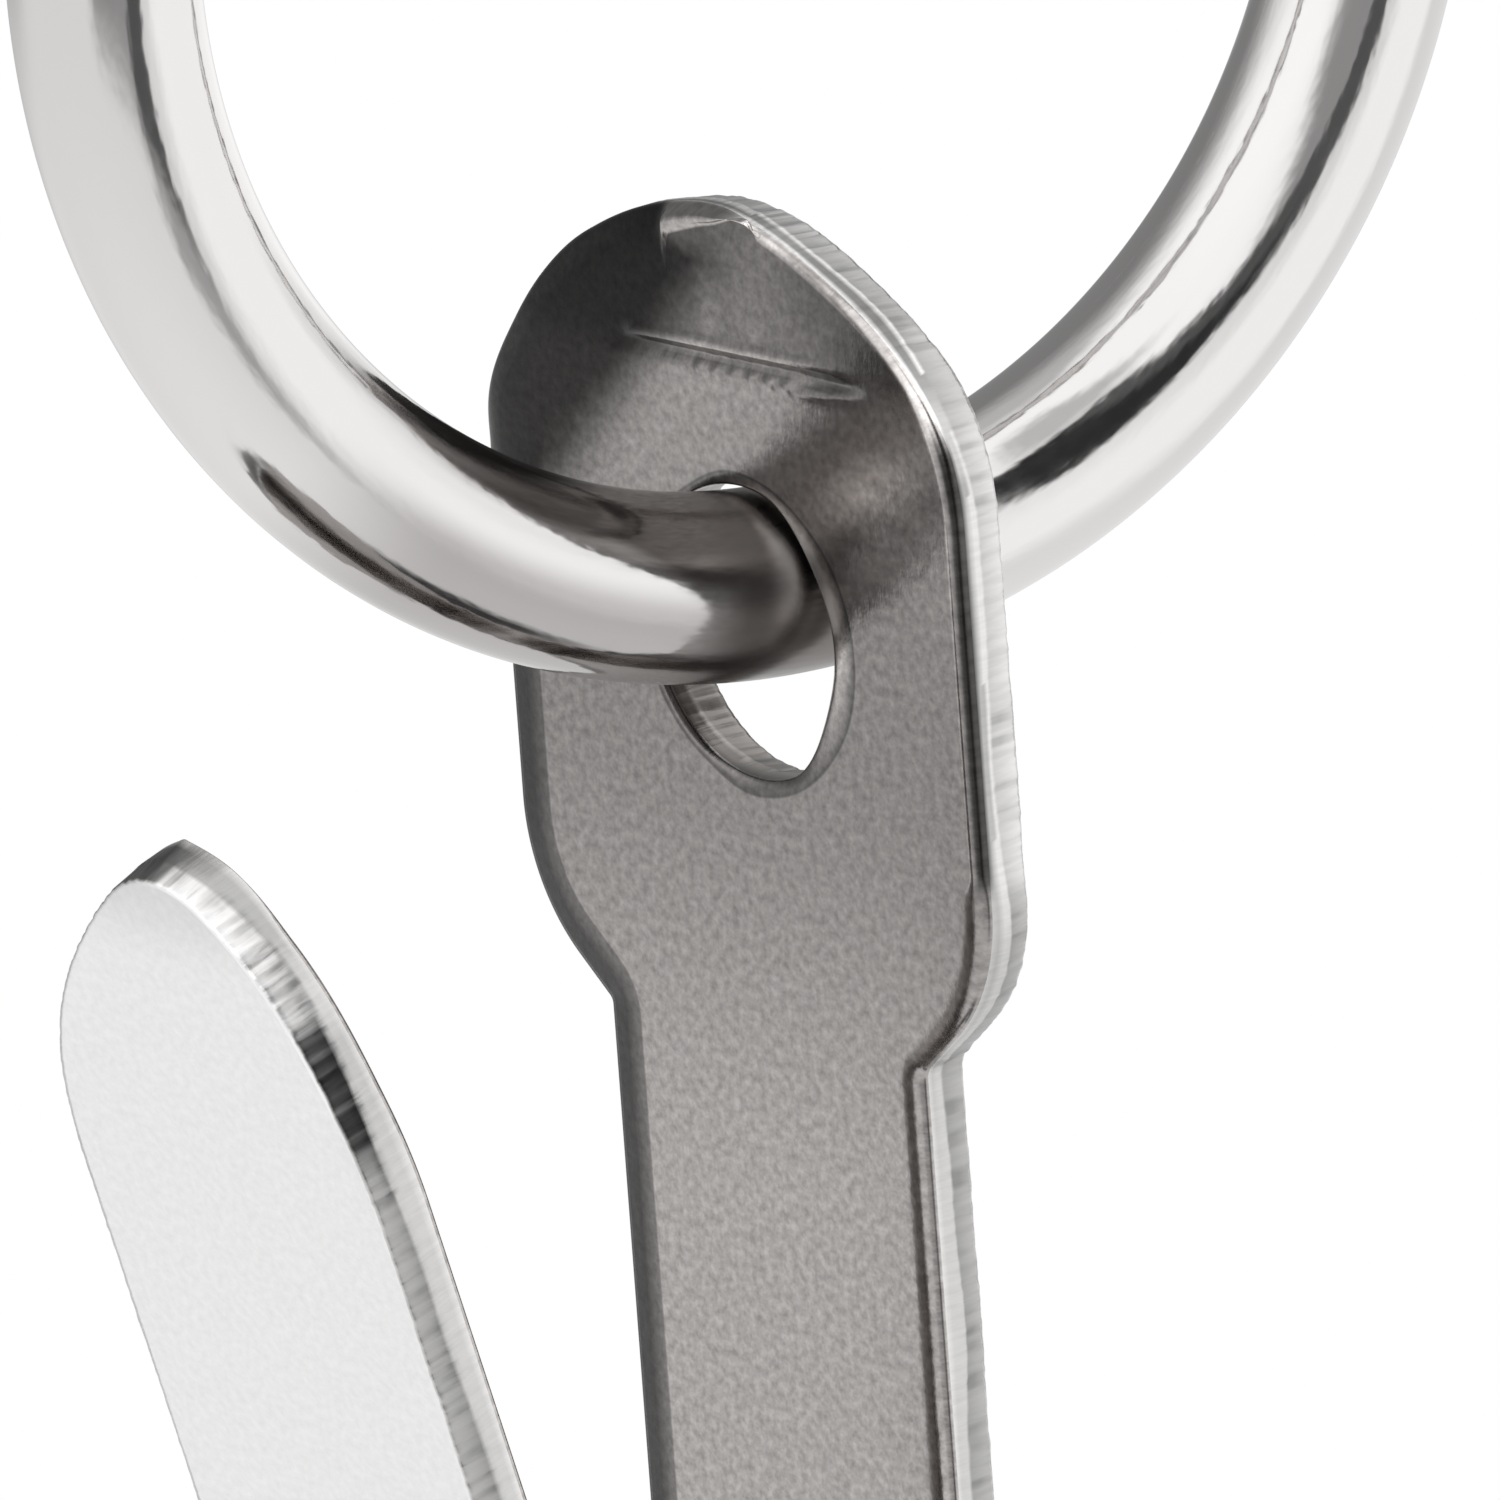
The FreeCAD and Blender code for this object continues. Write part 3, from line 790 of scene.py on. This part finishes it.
def fill_points(outer, inner):
    """Points inside a face, on even rows."""
    levels = np.concatenate([
        np.arange(LEG_END, LEG_FOOT, FILL_STEP),
        np.linspace(LEG_FOOT, -SHANK, BEND_ROWS),
        np.arange(-SHANK + FILL_STEP, CROWN_TOP, FILL_STEP)])
    across = np.arange(-HALF_HEAD, HALF_HEAD, FILL_STEP)
    fine_levels = np.arange(MARKS_LOW, MARKS_HIGH, MARKS_STEP_S)
    fine_across = np.arange(-HALF_HEAD, HALF_HEAD, MARKS_STEP_X)
    grid = [(x, s) for s in levels if not MARKS_LOW < s < MARKS_HIGH for x in across]
    grid += [(x, s) for s in fine_levels for x in fine_across]
    grid = np.array(grid)
    grid = grid[inside(grid, outer) & ~inside(grid, inner)]
    return grid[clear_of(grid, outer) & clear_of(grid, inner)]


print("rows in the bend %.2f mm apart" % (BEND_LENGTH / (BEND_ROWS - 1)))

# %% Faces of the strip
def ring_edges(first, count):
    """Edges of a closed line of points numbered in a row."""
    return [(first + i, first + (i + 1) % count) for i in range(count)]


def fill(outer_start, inner_start, level, kind):
    """Triangles of one face, between two rims that exist already."""
    outer = range(outer_start, outer_start + len(rim))
    inner = range(inner_start, inner_start + len(hole))
    rims = [np.array([verts[v][:2] for v in loop]) for loop in (outer, inner)]
    extra = fill_points(*rims)
    lift = press_marks(extra) if kind == INNER else np.zeros(len(extra))
    first = len(verts)
    verts.extend((x, s, level + rise) for (x, s), rise in zip(extra, lift))
    tones.extend(np.ones(len(extra)))

    ids = [*outer, *inner, *range(first, len(verts))]
    edges = ring_edges(0, len(outer)) + ring_edges(len(outer), len(inner))
    flat = [Vector(verts[v][:2]) for v in ids]
    points, _, triangles, sources, _, _ = delaunay_2d_cdt(flat, edges, [], 1, 1e-7)
    middles = np.array([sum((points[v] for v in corners), Vector((0, 0))) / 3 for corners in triangles])
    for triangle, in_hole in zip(triangles, inside(middles, rims[1])):
        if in_hole:
            continue
        corners = [ids[sources[v][0]] for v in triangle]
        if kind == OUTER:
            corners.reverse()
        faces.append(tuple(corners))
        face_kinds.append(kind)
        face_uvs.append([flat_uv(verts[v]) for v in corners])


fill(rim_starts[0], hole_starts[0], SHEET / 2, INNER)
fill(rim_starts[-1], hole_starts[-1], -SHEET / 2, OUTER)
print("strip: %d points, %d faces" % (len(verts), len(faces)))


# %% [markdown]
# ## Tone of the inner face
# The inside of the hook isn't even in tone: it is darker at the head's upper left and toward
# the crown, has painted shade up the shank, a lighter patch beside the hole, a painted
# reflection of the wire, painted shade inside the crown's right rim, and painted shade and
# highlights along the press marks. A painted picture could hold this. One number on each
# point of the mesh does as well, needs no picture, and bends with the strip.

# %% Tone of the inner face
def head_tone(x, s):
    """Tone on the head: darker at its upper left, a lighter patch, a painted reflection of the wire and
    painted shade inside the crown's right rim; 1 elsewhere.
    """
    torn_lip = ease(s, 6.05, 6.35) * ease(x, -1.3, -0.9)
    upper_left = ease((s - x) / math.sqrt(2), 3.35, 4.65) * (1 - 0.6 * torn_lip)
    lighter_patch = bell(x - 3.6, 0.9) * bell(s - 2.75 - 0.4 * (x - 3.6), 0.4)
    # Painted reflection of the wire: a dark diagonal line right of the hole.
    painted_wire_reflection = bell(s - 1.5 - 0.56 * (x - 2.83), 0.3) * ease(x, 2.4, 3.0)
    crown_ring = np.hypot(x / HALF_HEAD, np.maximum(s - CROWN_START, 0) / CROWN_HEIGHT)
    rim_shade = ease(crown_ring, 0.66, 0.86) * ease(x, 1.4, 2.6) * ease(s, 4.4, 5.2)
    tone = (1 - 0.9 * upper_left) * (1 + 1.8 * lighter_patch) * (1 - 0.25 * painted_wire_reflection)
    return tone * (1 - 0.3 * rim_shade)


def press_tone(x, s):
    """Painted light and shade along the press marks: painted shade at their end, a painted highlight above
    them, and two upright streaks of painted reflection.
    """
    painted_shade_at_mark_end = bell(x - 2.95, 0.6) * bell(s - 4.4, 0.3)
    light = bell(s - 4.55 - 0.01 * x, 0.08) * ease(x, -2.6, -1.0) * ease(-x, -3.6, -2.4)
    streaks = bell(x, 0.2) + bell(x - 1.05, 0.2)
    streaks *= ease(s, 4.7, 4.9) * ease(-s, -6.2, -5.2)
    return (1 - 0.4 * painted_shade_at_mark_end) * (1 + 1.1 * light) * (1 + 0.35 * streaks)


# %% Tone of the strip
INNER_FROM = 0.1
OUTER_FROM = -0.49

x, s, d = np.array(verts).T
# Painted shade inside the hook: darkest up the shank near the hole, lighter again on the head.
painted_shade_up_the_shank = 0.62 + 0.38 * ease(-s, 1.0, 9.5) + 0.16 * ease(s, 0.5, 3.0)
crown_fade = 1 - 0.42 * ease(s, 3.9, 4.7)
inner_tone = painted_shade_up_the_shank * crown_fade * head_tone(x, s) * press_tone(x, s)
# Painted shade on the outer face near the leg's tip.
outer_tone = 1 - 0.16 * ease(LEG_FOOT - s, 18.0, 19.5)
tone = np.array(tones) * np.where(d > INNER_FROM, inner_tone, np.where(d < OUTER_FROM, outer_tone, 1.0))
print("tone from %.2f to %.2f" % (tone.min(), tone.max()))

# %% Blank mesh
mesh = bpy.data.meshes.new("strip_hook")
mesh.from_pydata([(x * MM, s * MM, d * MM) for x, s, d in verts], [], faces)
mesh.attributes.new("kind", "INT", "FACE").data.foreach_set("value", face_kinds)
mesh.attributes.new("tone", "FLOAT", "POINT").data.foreach_set("value", tone)
mesh.polygons.foreach_set("use_smooth", [True] * len(faces))
layer = mesh.uv_layers.new(name="blank")
layer.data.foreach_set("uv", [c for corners in face_uvs for uv in corners for c in uv])
print("blank: %d points, %d faces" % (len(mesh.vertices), len(mesh.polygons)))

# %% [markdown]
# ## The strip's finishes
# The strip is rolled steel with bright plating. Inside the hook it is given darker metal as
# painted shade, and a duller finish. Rolling leaves a fine grain along it, and plating a soft
# mottle. Both are noise on the map of the blank, in millimetres, so that they follow the
# bend, where Object coordinates would cut through it. The grain is drawn coarser than real
# grain, so that it shows.

# %% Strip faces
GRAIN = 1 / 9
MOTTLE = 1 / 1.3
MOTTLE_DEPTH = 0.01
SPECKLE = 1 / 6
ROLLED_OUT = 0.35


def toned(tree, base, patchy):
    """Base colour times the tone on the mesh and a little patchiness."""
    tone = add(tree, "ShaderNodeAttribute", attribute_name="tone").outputs["Fac"]
    strength = add(tree, MATH, [tone, patchy], operation="MULTIPLY")
    return add(tree, VECTOR, {0: colour(base)[:3], "Scale": strength}, operation="SCALE")


def strip_face(name, base, gloss, grain_depth, speckled):
    """A rolled face: grain along the strip, mottling and speckle."""
    material, tree = new_finish(name)
    blank = add(tree, "ShaderNodeUVMap", uv_map="blank")
    flat = add(tree, VECTOR, [blank, (FLAT_SPAN, FLAT_SPAN, 0.0)], operation="MULTIPLY")
    rolled = add(tree, VECTOR, [flat, (1.0, ROLLED_OUT, 1.0)], operation="MULTIPLY")
    grain = add(tree, NOISE, {"Vector": rolled, "Scale": 1 / GRAIN, "Detail": 3.0, "Roughness": 0.65})
    mottle = add(tree, NOISE, {"Vector": flat, "Scale": 1 / MOTTLE, "Detail": 4.0, "Roughness": 0.6})
    speckle = add(tree, NOISE, {"Vector": flat, "Scale": 1 / SPECKLE, "Detail": 2.0, "Roughness": 0.6})
    soft = add(tree, BUMP, {"Height": mottle, "Strength": 1.0, "Distance": MOTTLE_DEPTH * MM})
    relief = add(tree, BUMP, {"Height": grain, "Strength": 1.0, "Distance": grain_depth * MM,
                              "Normal": soft})
    roughness = add(tree, SPAN, [mottle, 0.3, 0.7, *gloss], interpolation_type=SOFT)
    patchy = add(tree, SPAN, [speckle, 0.25, 0.75, 1 - speckled, 1 + speckled])
    metal(tree, toned(tree, base, patchy), roughness, relief)
    return material


# Plating on rolled steel, inside the hook: a warm grey, darker than outside as painted shade, half dull,
# with a speckle that breaks up reflections.
inner_metal = strip_face("dull_plated_strip_inside", "#B3AFAD", (0.18, 0.24), 0.0025, 0.3)
# Plating on rolled steel, outside the hook: near white and satin, with hardly any speckle.
outer_metal = strip_face("bright_plated_strip_outside", "#F4F3F3", (0.28, 0.36), 0.003, 0.05)
print("grain about %.2f mm wide, mottle about %.2f mm" % (GRAIN, MOTTLE))

# %% [markdown]
# ## The cut walls
# A punch drags stripes across the thickness of the sheet. They are too many to model, so a
# noise is stretched across the wall, about a seventh of a millimetre from stripe to stripe,
# and moves height, gloss and colour together.

# %% Cut walls
STRIPE = 1 / 7
STRIPE_DEPTH = 0.012
STRETCHED = 0.12


def cut_wall(name, base, gloss):
    """A sheared wall: stripes across the thickness, left by the punch."""
    material, tree = new_finish(name)
    blank = add(tree, "ShaderNodeUVMap", uv_map="blank")
    cut = add(tree, VECTOR, [blank, (WALL_SPAN, WALL_SPAN * STRETCHED, 0.0)], operation="MULTIPLY")
    stripes = add(tree, NOISE, {"Vector": cut, "Scale": 1 / STRIPE, "Detail": 2.0, "Roughness": 0.6})
    relief = add(tree, BUMP, {"Height": stripes, "Strength": 1.0, "Distance": STRIPE_DEPTH * MM})
    roughness = add(tree, SPAN, [stripes, 0.3, 0.7, *gloss], interpolation_type=SOFT)
    patchy = add(tree, SPAN, [stripes, 0.3, 0.7, 0.85, 1.05], interpolation_type=SOFT)
    metal(tree, toned(tree, base, patchy), roughness, relief)
    return material


# Plating over a sheared edge: pale and satin, striped across.
edge_metal = cut_wall("sheared_plated_edge", "#E6E5E4", (0.3, 0.46))
# Painted shade in the hole: the same stripes on darker metal.
bore_metal = cut_wall("punched_hole_wall", "#8E8A87", (0.25, 0.4))
print("finishes:", inner_metal.name, outer_metal.name, edge_metal.name, bore_metal.name)

# %% [markdown]
# ## One bend
# A press brake folds the real strip once. Blender's Simple Deform can bend a mesh, but it
# bends the whole of it. This Geometry Nodes tree has the rule of the fold: below the shank a
# point turns about the bend's axis, and past the bend it runs straight on up the leg.

# %% Bend tree
tree, given = new_tree("one_bend", {
    "Shank length": "NodeSocketFloat", "Bend radius": "NodeSocketFloat", "Bend turn": "NodeSocketFloat"})
radius = given["Bend radius"]
position = add(tree, "GeometryNodeInputPosition")
spot = add(tree, SPLIT, [position]).outputs

downward = add(tree, MATH, [spot["Y"], -1.0], operation="MULTIPLY")
past_shank = add(tree, MATH, [downward, given["Shank length"]], operation="SUBTRACT")
below = add(tree, MATH, [past_shank, 0.0], operation="MAXIMUM")
whole_bend = add(tree, MATH, [radius, given["Bend turn"]], operation="MULTIPLY")
in_bend = add(tree, MATH, [below, whole_bend], operation="MINIMUM")
past_bend = add(tree, MATH, [below, in_bend], operation="SUBTRACT")
turned = add(tree, MATH, [in_bend, radius], operation="DIVIDE")
cosine = add(tree, MATH, [turned], operation="COSINE")
sine = add(tree, MATH, [turned], operation="SINE")
own_radius = add(tree, MATH, [radius, spot["Z"]], operation="SUBTRACT")
print("bend of %.0f degrees, %.1f mm long" % (math.degrees(BEND_TURN), BEND_LENGTH))

# %% Bent position
radius_out = add(tree, MATH, [own_radius, cosine], operation="MULTIPLY")
leg_out = add(tree, MATH, [past_bend, sine], operation="MULTIPLY")
swung = add(tree, MATH, [radius_out, leg_out], operation="SUBTRACT")
depth = add(tree, MATH, [swung, radius], operation="SUBTRACT")
radius_down = add(tree, MATH, [own_radius, sine], operation="MULTIPLY")
leg_down = add(tree, MATH, [past_bend, cosine], operation="MULTIPLY")
lower = add(tree, MATH, [radius_down, leg_down], operation="ADD")
shank_level = add(tree, MATH, [spot["Y"], below], operation="ADD")
level = add(tree, MATH, [shank_level, lower], operation="SUBTRACT")
bent = add(tree, JOIN, {"X": spot["X"], "Y": depth, "Z": level})
moved = add(tree, "GeometryNodeSetPosition", {"Geometry": given["Geometry"], "Position": bent})
shape = add(tree, "GeometryNodeRealizeInstances", [moved])
for kind, finish in enumerate((inner_metal, outer_metal, edge_metal, bore_metal)):
    own_kind = add(tree, "GeometryNodeInputNamedAttribute", {"Name": "kind"}, data_type="INT")
    chosen = add(tree, "FunctionNodeCompare", {2: own_kind, 3: kind}, data_type="INT", operation="EQUAL")
    shape = add(tree, "GeometryNodeSetMaterial", {
        "Geometry": shape, "Selection": chosen, "Material": finish})
add(tree, "NodeGroupOutput", [shape])
print("bend tree:", len(tree.nodes), "nodes")

# %% [markdown]
# ## Hanging it up
# The hook hangs loose: the top of its hole lies over the wire with a little play, and the
# hook is tilted and turned. The object could be moved there. Its place goes into the mesh
# instead, because the export puts every object back at the origin.

# %% Hook
HANG_GAP = 0.12
HANG_SHIFT = 0.4
TILT = math.radians(5.4)
YAW = math.radians(7.8)

hook = new_piece("strip_hook", mesh)
use_tree(hook, tree, {"Shank length": SHANK * MM, "Bend radius": BEND_MIDDLE * MM, "Bend turn": BEND_TURN})
bake(hook)
hole_x = -HOLE_OFFSET * math.cos(YAW)
hole_y = HANG_SHIFT - HOLE_OFFSET * math.sin(YAW)
hole_z = WIRE / 2 - RING_RADIUS + HANG_GAP - HOLE / 2 * math.cos(TILT)
hung_at = Matrix.Translation(Vector((hole_x, hole_y, hole_z)) * MM)
hook.data.transform(hung_at @ Matrix.Rotation(YAW, 4, "Z") @ Matrix.Rotation(TILT, 4, "X"))
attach(hook, "hook")
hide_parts("hook")
print("hook:", len(hook.data.polygons), "faces, box", [round(v / MM, 2) for v in hook.dimensions])

# %% [markdown]
# ## Light
# Bright metal is only as good as what it has to mirror. Lamps would show as hard spots, so
# the surroundings are one soft sky over a pale table, with soft-edged cards, light and dark,
# as a studio would stand them round the object. The camera itself sees plain white.

# %% Directions
world = bpy.data.worlds.new("studio")
world.use_nodes = True
bpy.context.scene.world = world
tree = world.node_tree
tree.nodes.clear()
DEGREES = 180 / math.pi
toward = add(tree, "ShaderNodeTexCoord").outputs["Generated"]
way = add(tree, SPLIT, [toward]).outputs
frontward = add(tree, MATH, [way["Y"], -1.0], operation="MULTIPLY")
turned = add(tree, MATH, [way["X"], frontward], operation="ARCTAN2")
azimuth = add(tree, MATH, [turned, DEGREES], operation="MULTIPLY")
raised = add(tree, MATH, [way["Z"]], operation="ARCSINE")
height = add(tree, MATH, [raised, DEGREES], operation="MULTIPLY")

floor_glow = add(tree, SPAN, [height, -75.0, -8.0, 1.25, 1.1], interpolation_type=SOFT)
sky_glow = add(tree, SPAN, [height, 5.0, 35.0, 1.2, 1.55], interpolation_type=SOFT)
horizon = add(tree, SPAN, [height, -4.0, 4.0], interpolation_type=SOFT)
glow = add(tree, MIX, {"Factor": horizon, "A": floor_glow, "B": sky_glow}, data_type="FLOAT")
print("sky over a pale table, azimuth 0 at the front")

# %% Cards
# Each card: brightness, then its middle, half size and softness, sideways and upward, in degrees.
CARDS = {
    "dim wall at the left": (0.75, (-85, 46, 50), (40, 44, 20)),
    "darker middle of that wall": (0.32, (-92, 38, 44), (22, 34, 28)),
    "grey card beside the camera": (0.42, (66, 22, 16), (0, 20, 10)),
    "bright card low at the right": (1.46, (140, 26, 16), (-10, 24, 16)),
    "grey card high at the right": (0.8, (86, 16, 14), (62, 14, 14)),
    "low strip at the right": (0.55, (94, 12, 12), (-25, 5, 8)),
    "dark upright flag": (0.13, (93, 9, 5), (13, 34, 6)),
    "black flag next to it": (0.04, (103, 9, 4), (28, 19, 6)),
    "dark strip on the table": (0.09, (70, 95, 60), (-77, 6, 7)),
    "bright strip behind": (1.45, (-178, 44, 30), (-3, 8, 8)),
    "dark strip behind": (0.2, (-158, 24, 24), (20, 7, 10)),
    "bright card high in front": (1.6, (15, 30, 36), (30, 22, 24))}

for brightness, (aside, half_wide, soft_wide), (above, half_high, soft_high) in CARDS.values():
    off_side = add(tree, MATH, [azimuth, aside], operation="SUBTRACT")
    wrapped = add(tree, MATH, [off_side, 180.0, -180.0], operation="WRAP")
    sideways = add(tree, MATH, [wrapped], operation="ABSOLUTE")
    off_level = add(tree, MATH, [height, above], operation="SUBTRACT")
    upward = add(tree, MATH, [off_level], operation="ABSOLUTE")
    wide = [sideways, half_wide - soft_wide / 2, half_wide + soft_wide / 2, 1.0, 0.0]
    high = [upward, half_high - soft_high / 2, half_high + soft_high / 2, 1.0, 0.0]
    in_width = add(tree, SPAN, wide, interpolation_type=SOFT)
    in_height = add(tree, SPAN, high, interpolation_type=SOFT)
    on_card = add(tree, MATH, [in_width, in_height], operation="MULTIPLY")
    glow = add(tree, MIX, {"Factor": on_card, "A": glow, "B": brightness}, data_type="FLOAT")
print("cards:", len(CARDS))

# %% White for the camera
WHITE = 1.0
to_camera = add(tree, "ShaderNodeLightPath").outputs["Is Camera Ray"]
shown = add(tree, MIX, {"Factor": to_camera, "A": glow, "B": WHITE}, data_type="FLOAT")
light = add(tree, "ShaderNodeBackground", {"Strength": shown})
add(tree, "ShaderNodeOutputWorld", {"Surface": light})
print("surroundings:", len(tree.nodes), "nodes")

# %% [markdown]
# ## Floor
# The photograph has no floor, only white paper. A sheet well below the hook glows evenly at
# the strength of white. It is hidden from reflections, because the surroundings already
# hold the table that the metal mirrors.

# %% Floor
FLOOR_DROP = 45.0
FLOOR_HALF = 600.0
half = FLOOR_HALF * MM
floor_z = cad_low.z - FLOOR_DROP * MM
corners = [(x, y, floor_z) for x, y in ((-half, -half), (half, -half), (half, half), (-half, half))]
sheet = bpy.data.meshes.new("floor")
sheet.from_pydata(corners, [], [(0, 1, 2, 3)])
floor = new_piece("floor", sheet)
floor.visible_glossy = False
# Paper lit from all round: flat white, with no shade of its own.
paper, tree = new_finish("white_paper")
paper_glow = add(tree, "ShaderNodeEmission", {"Strength": WHITE})
add(tree, "ShaderNodeOutputMaterial", {"Surface": paper_glow})
sheet.materials.append(paper)
floor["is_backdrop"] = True
print("floor %.0f mm below the part" % FLOOR_DROP)

# %% [markdown]
# ## Camera
# A long lens as in the photograph: about 58 degrees round from the front and 11 above, aimed
# so that the ring's top and the hook's bend leave the frame. A camera can be framed by hand
# in the viewport, but these numbers can be checked against the picture.

# %% Camera
AZIMUTH = math.radians(57.61)
ELEVATION = math.radians(11.28)
DISTANCE = 600.0
FRAME_WIDTH = 23.26
SENSOR = 36.0
LOOKED_AT = Vector((0, 0, -11.0))
AIM_RIGHT = 0.052
AIM_DOWN = 3.262

level_reach = math.cos(ELEVATION)
back = Vector((math.sin(AZIMUTH) * level_reach, -math.cos(AZIMUTH) * level_reach, math.sin(ELEVATION)))
across = Vector((math.cos(AZIMUTH), math.sin(AZIMUTH), 0))
up = back.cross(across)
station = LOOKED_AT + back * DISTANCE
aim = LOOKED_AT + across * AIM_RIGHT - up * AIM_DOWN
lens = bpy.data.cameras.new("camera")
lens.sensor_width = SENSOR
lens.lens = SENSOR * DISTANCE / FRAME_WIDTH
camera = new_piece("camera", lens)
camera.location = station * MM
camera.rotation_euler = (aim - station).to_track_quat("-Z", "Y").to_euler()
bpy.context.scene.camera = camera
bpy.context.scene.view_settings.view_transform = "Standard"
print("lens %.0f mm" % lens.lens)

# %% [markdown]
# ## Size of the dressed part
# Last, the box round the dressed part is set beside the box round the solids, so that a skin
# that has grown too far shows at once.

# %% Size of the dressed part
low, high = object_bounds()
boxes = {"cad": [list(cad_low), list(cad_high)], "visual": [list(low), list(high)]}
for name, (a, b) in boxes.items():
    print(name, [round(v / MM, 2) for v in a], [round(v / MM, 2) for v in b])
